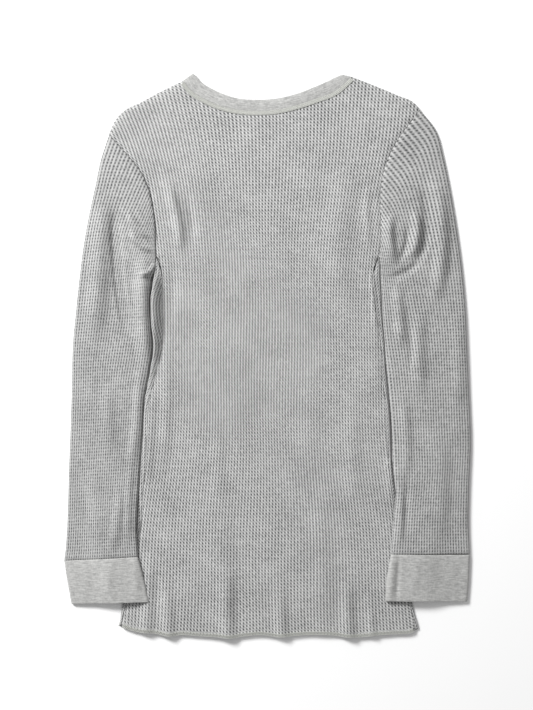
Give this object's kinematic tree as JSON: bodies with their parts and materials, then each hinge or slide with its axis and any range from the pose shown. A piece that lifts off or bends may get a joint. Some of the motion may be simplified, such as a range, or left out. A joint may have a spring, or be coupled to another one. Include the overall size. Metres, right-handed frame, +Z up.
{
  "type": "thermal top",
  "caption": "Long-sleeved waffle-knit thermal top laid flat on its front, back upwards, with a plain knit neckband and cuffs.",
  "frame": {"origin": "on the surface that the garment lies on, under the middle of its outline", "axes": "+X towards the right-hand side as seen from above with the neck at the top, +Y towards the neck, +Z up out of the surface"},
  "size_m": [0.4872, 0.677, 0.0112],
  "materials": {
    "waffle_knit": "grey marl cotton waffle knit, matt",
    "band_jersey": "grey marl cotton jersey, matt"
  },
  "bodies": {
    "root": {"back_panel": "waffle_knit", "front_panel": "waffle_knit", "left_sleeve": "waffle_knit", "right_sleeve": "waffle_knit", "left_cuff": "band_jersey", "right_cuff": "band_jersey", "neckband": "band_jersey"}
  },
  "joints": []
}
